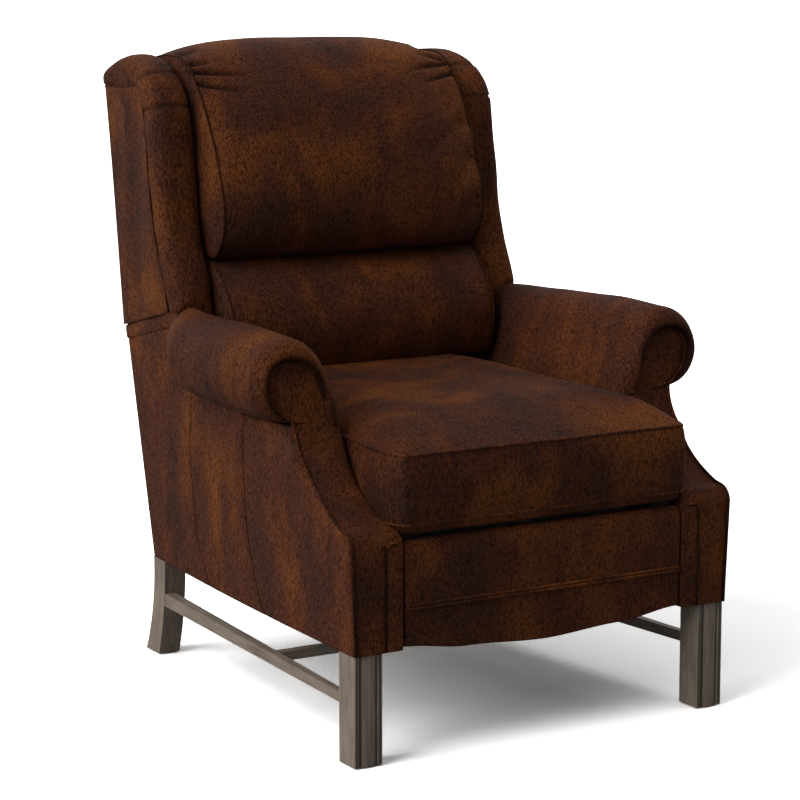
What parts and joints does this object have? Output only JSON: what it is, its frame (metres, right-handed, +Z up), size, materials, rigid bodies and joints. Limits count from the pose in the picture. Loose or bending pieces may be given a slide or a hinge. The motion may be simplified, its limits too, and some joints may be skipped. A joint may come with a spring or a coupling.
{
  "type": "wing recliner",
  "caption": "Push-back wing recliner in leather: rolled arms, stacked back pillows, boxed seat cushion, folding footrest and high square legs with stretchers.",
  "frame": {"origin": "centre of the bounding box's base, on the floor", "axes": "+Z up, -Y towards the chair's front, +X to the sitter's left"},
  "size_m": [0.8466, 0.9432, 1.0748],
  "materials": {
    "brown_leather": "semi-aniline",
    "weathered_oak": "matte stain",
    "frame_hardwood": "raw",
    "mechanism_steel": "satin",
    "zinc_pins": "zinc plated",
    "spring_steel": "bare",
    "nylon": "matte",
    "webbing": "woven",
    "deck_cloth": "woven"
  },
  "bodies": {
    "base": {"arm_board_left": "frame_hardwood", "arm_board_right": "frame_hardwood", "arm_facing_left": "brown_leather", "arm_facing_right": "brown_leather", "arm_roll_left": "brown_leather", "arm_roll_right": "brown_leather", "base_cross_rail": "frame_hardwood", "base_pivot_pins": "zinc_pins", "base_rear_rail": "frame_hardwood", "cross_stretcher": "weathered_oak", "front_leg_left": "weathered_oak", "front_leg_right": "weathered_oak", "front_post_left": "frame_hardwood", "front_post_right": "frame_hardwood", "front_strip_left": "brown_leather", "front_strip_right": "brown_leather", "inner_arm_pad_left": "brown_leather", "inner_arm_pad_right": "brown_leather", "leg_bolts": "zinc_pins", "leg_glides": "nylon", "lower_back_panel": "brown_leather", "mounting_rails": "mechanism_steel", "outer_side_panel_left": "brown_leather", "outer_side_panel_right": "brown_leather", "rear_leg_left": "weathered_oak", "rear_leg_right": "weathered_oak", "side_rail_left": "frame_hardwood", "side_rail_right": "frame_hardwood", "side_stretcher_left": "weathered_oak", "side_stretcher_right": "weathered_oak"},
    "back": {"back_bottom_rail": "frame_hardwood", "back_brackets": "mechanism_steel", "back_post_left": "frame_hardwood", "back_post_right": "frame_hardwood", "back_top_rail": "frame_hardwood", "back_webbing": "webbing", "head_pillow": "brown_leather", "lumbar_pillow": "brown_leather", "outer_back_panel": "brown_leather", "wing_left": "brown_leather", "wing_panel_left": "brown_leather", "wing_panel_right": "brown_leather", "wing_right": "brown_leather"},
    "seat": {"seat_cushion": "brown_leather", "seat_deck": "deck_cloth", "seat_pivot_pins": "zinc_pins", "seat_rails": "frame_hardwood", "seat_side_plates": "mechanism_steel", "seat_springs": "spring_steel"},
    "swing": {"swing_links": "mechanism_steel"},
    "rear_link": {"knee_pins": "zinc_pins", "rear_links": "mechanism_steel", "torque_tube": "mechanism_steel"},
    "rear_partner": {"rear_partner_links": "mechanism_steel"},
    "front_link": {"front_links": "mechanism_steel"},
    "front_partner": {"front_partner_links": "mechanism_steel"},
    "footrest": {"footrest_apron": "brown_leather", "footrest_board": "frame_hardwood", "footrest_brackets": "mechanism_steel", "footrest_pad": "brown_leather"}
  },
  "joints": [
    {"name": "back_recline", "type": "hinge", "parent": "base", "child": "back", "pos_m": [0, 0.3644, 0.583], "axis": [-1, 0, 0], "range_deg": [0, 27]},
    {"name": "seat_swing", "type": "hinge", "parent": "base", "child": "swing", "pos_m": [0, -0.1106, 0.376], "axis": [-1, 0, 0], "range_deg": [0, 27]},
    {"name": "seat_glide", "type": "hinge", "parent": "swing", "child": "seat", "pos_m": [0, -0.1676, 0.205], "axis": [-1, 0, 0], "range_deg": [-27, 0]},
    {"name": "rear_link_turn", "type": "hinge", "parent": "seat", "child": "rear_link", "pos_m": [0, -0.3176, 0.318], "axis": [-1, 0, 0], "range_deg": [0, 140]},
    {"name": "rear_partner_turn", "type": "hinge", "parent": "seat", "child": "rear_partner", "pos_m": [0, -0.34326, 0.30786], "axis": [-1, 0, 0], "range_deg": [0, 140]},
    {"name": "front_link_turn", "type": "hinge", "parent": "rear_link", "child": "front_link", "pos_m": [0, -0.20704, 0.18624], "axis": [-1, 0, 0], "range_deg": [-132, 0]},
    {"name": "front_partner_turn", "type": "hinge", "parent": "rear_link", "child": "front_partner", "pos_m": [0, -0.20744, 0.20724], "axis": [-1, 0, 0], "range_deg": [-137.1, 0]},
    {"name": "footrest_turn", "type": "hinge", "parent": "front_link", "child": "footrest", "pos_m": [0, -0.4016, 0.232], "axis": [-1, 0, 0], "range_deg": [0, 87]}
  ],
  "couplings": [
    {"joint": "seat_swing", "follows": "back_recline", "ratio": 1},
    {"joint": "seat_glide", "follows": "back_recline", "ratio": -1},
    {"joint": "rear_link_turn", "follows": "back_recline", "ratio": 5.1851},
    {"joint": "rear_partner_turn", "follows": "back_recline", "ratio": 5.1851},
    {"joint": "front_link_turn", "follows": "back_recline", "ratio": -4.8889},
    {"joint": "front_partner_turn", "follows": "back_recline", "ratio": -5.0763},
    {"joint": "footrest_turn", "follows": "back_recline", "ratio": 3.2222}
  ]
}
